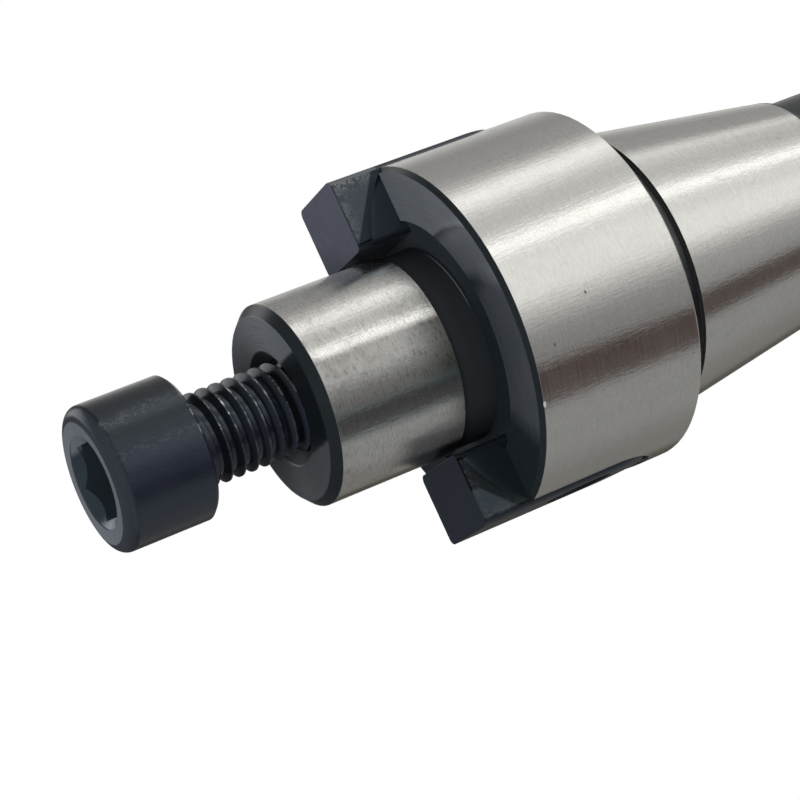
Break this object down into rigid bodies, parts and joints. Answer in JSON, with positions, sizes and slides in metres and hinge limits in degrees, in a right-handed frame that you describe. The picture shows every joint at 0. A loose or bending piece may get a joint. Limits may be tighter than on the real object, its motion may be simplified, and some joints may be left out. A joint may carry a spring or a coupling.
{
  "type": "face mill arbor",
  "caption": "Arbor that carries a face mill on a ground pilot, with drive keys and a socket-head clamp screw, on a steep-taper spindle shank with a keyway and a drawbar thread.",
  "frame": {"origin": "centre of the rear face of the shank, where the drawbar enters", "axes": "+Z along the arbor's axis from the drawbar end to the pilot and clamp screw; the drive keys lie on +X and -X, and the spindle keyway opens towards -Y"},
  "size_m": [0.0396, 0.0396, 0.1652],
  "materials": {
    "arbor_steel": "ground on the pilot, flange, taper and rear bearing; oily black oxide elsewhere",
    "clamp_screw_black": "black oxide, oiled",
    "drive_key_black": "black oxide, milled",
    "key_screw_black": "black oxide"
  },
  "bodies": {
    "arbor": {"arbor_body": "arbor_steel", "drive_key_left": "drive_key_black", "drive_key_right": "drive_key_black", "key_screw_left": "key_screw_black", "key_screw_right": "key_screw_black"},
    "clamp_screw": {"clamp_screw": "clamp_screw_black"}
  },
  "joints": [
    {"name": "clamp_screw_travel", "type": "slide", "parent": "arbor", "child": "clamp_screw", "axis": [0, 0, 1], "range_m": [-0.0111, 0.0155]}
  ]
}
